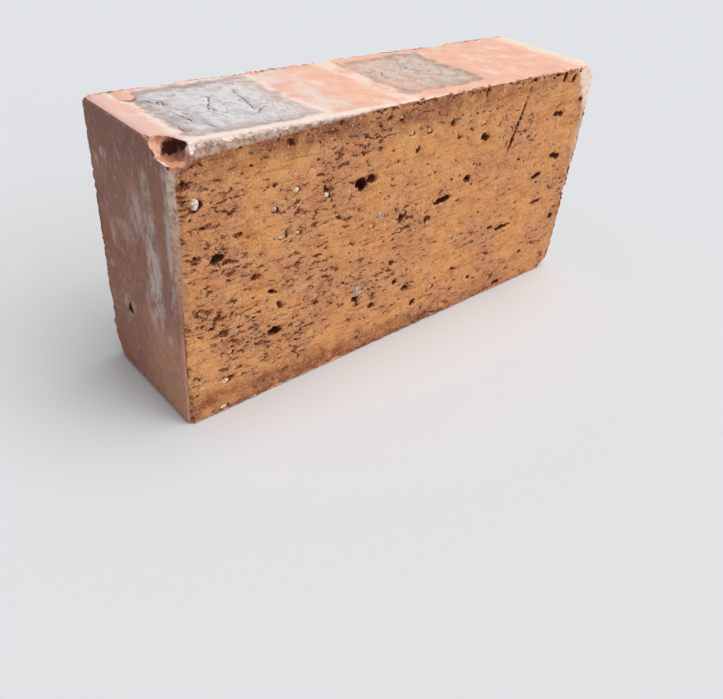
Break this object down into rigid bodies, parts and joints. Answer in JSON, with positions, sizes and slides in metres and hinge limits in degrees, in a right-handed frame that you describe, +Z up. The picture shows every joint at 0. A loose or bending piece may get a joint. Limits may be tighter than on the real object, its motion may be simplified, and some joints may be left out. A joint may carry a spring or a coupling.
{
  "type": "solid clay brick",
  "caption": "Solid wire-cut fired clay brick with torn beds, smooth sides and worn arrises, laid in mortar as a masonry unit.",
  "frame": {"origin": "middle of the brick's lowest side, at the level it stands on", "axes": "+X along the brick's length, towards the end without the broken head corner; +Y through its thickness, away from the scratched bed; +Z up"},
  "size_m": [0.25, 0.065, 0.12],
  "materials": {
    "fired_clay": "matt fired clay, rough beds"
  },
  "bodies": {
    "root": {"brick": "fired_clay"}
  },
  "joints": []
}
